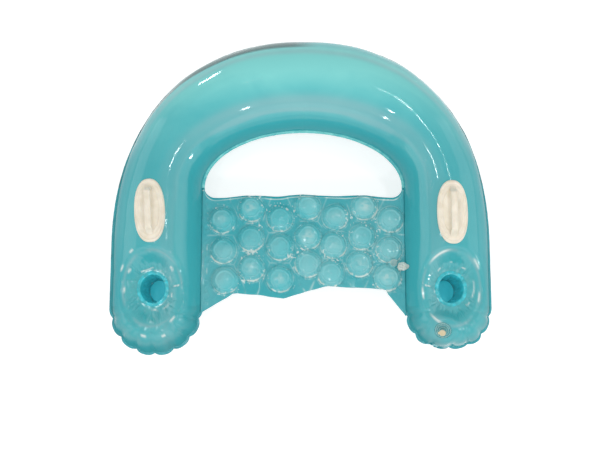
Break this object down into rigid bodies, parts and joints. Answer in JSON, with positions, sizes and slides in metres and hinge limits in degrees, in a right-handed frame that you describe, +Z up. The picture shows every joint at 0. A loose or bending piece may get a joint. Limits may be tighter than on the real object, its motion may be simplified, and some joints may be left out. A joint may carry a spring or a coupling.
{
  "type": "inflatable pool chair",
  "caption": "Inflatable pool chair: a U-shaped air tube with scalloped arm pods, cup wells, moulded grab handles, a hung bubble-weld seat and push-in air valves.",
  "frame": {"origin": "on the floor, under the middle of the ring's plan", "axes": "+X to the right as seen from the front, looking at the backrest; +Y to the backrest; +Z up"},
  "size_m": [1.032, 0.865, 0.2532],
  "materials": {
    "clear_aqua_vinyl": "glossy translucent PVC film",
    "deep_aqua_vinyl": "glossy PVC film, doubled at its welds",
    "cream_moulding": "soft satin moulded PVC",
    "clear_moulding": "clear soft moulded PVC",
    "ivory_plug": "satin soft moulded PVC"
  },
  "bodies": {
    "float": {"ring_top_sheet": "clear_aqua_vinyl", "ring_bottom_sheet": "clear_aqua_vinyl", "seat_top_sheet": "clear_aqua_vinyl", "seat_bottom_sheet": "clear_aqua_vinyl", "cup_sleeve_left": "deep_aqua_vinyl", "cup_sleeve_right": "deep_aqua_vinyl", "cup_floor_left": "deep_aqua_vinyl", "cup_floor_right": "deep_aqua_vinyl", "grab_handle_left": "cream_moulding", "grab_handle_right": "cream_moulding", "main_valve_base": "clear_moulding", "seat_valve_base": "clear_moulding"},
    "main_valve_stem": {"main_valve_stem": "clear_moulding"},
    "main_valve_plug": {"main_valve_plug": "ivory_plug"},
    "main_valve_flap": {"main_valve_flap": "clear_moulding"},
    "seat_valve_stem": {"seat_valve_stem": "clear_moulding"},
    "seat_valve_plug": {"seat_valve_plug": "ivory_plug"},
    "seat_valve_flap": {"seat_valve_flap": "clear_moulding"}
  },
  "joints": [
    {"name": "main_valve_push", "type": "slide", "parent": "float", "child": "main_valve_stem", "axis": [0.2527, 0.3972, -0.8823], "range_m": [0, 0.008]},
    {"name": "main_plug_swing", "type": "hinge", "parent": "main_valve_stem", "child": "main_valve_plug", "pos_m": [0.35533, -0.38355, 0.20343], "axis": [0.1094, -0.9178, -0.3818], "range_deg": [0, 150]},
    {"name": "main_flap_swing", "type": "hinge", "parent": "main_valve_stem", "child": "main_valve_flap", "pos_m": [0.36734, -0.37056, 0.17565], "axis": [-0.1094, 0.9178, 0.3818], "range_deg": [0, 35], "stiffness_Nm_per_rad": 0.0002, "springref_deg": -11.46},
    {"name": "seat_valve_push", "type": "slide", "parent": "float", "child": "seat_valve_stem", "axis": [0, 0, -1], "range_m": [0, 0.005]},
    {"name": "seat_plug_swing", "type": "hinge", "parent": "seat_valve_stem", "child": "seat_valve_plug", "pos_m": [0.2457, -0.1928, 0.1309], "axis": [0, -1, 0], "range_deg": [0, 150]},
    {"name": "seat_flap_swing", "type": "hinge", "parent": "seat_valve_stem", "child": "seat_valve_flap", "pos_m": [0.2485, -0.1928, 0.1125], "axis": [0, 1, 0], "range_deg": [0, 35], "stiffness_Nm_per_rad": 0.00005, "springref_deg": -11.46}
  ]
}
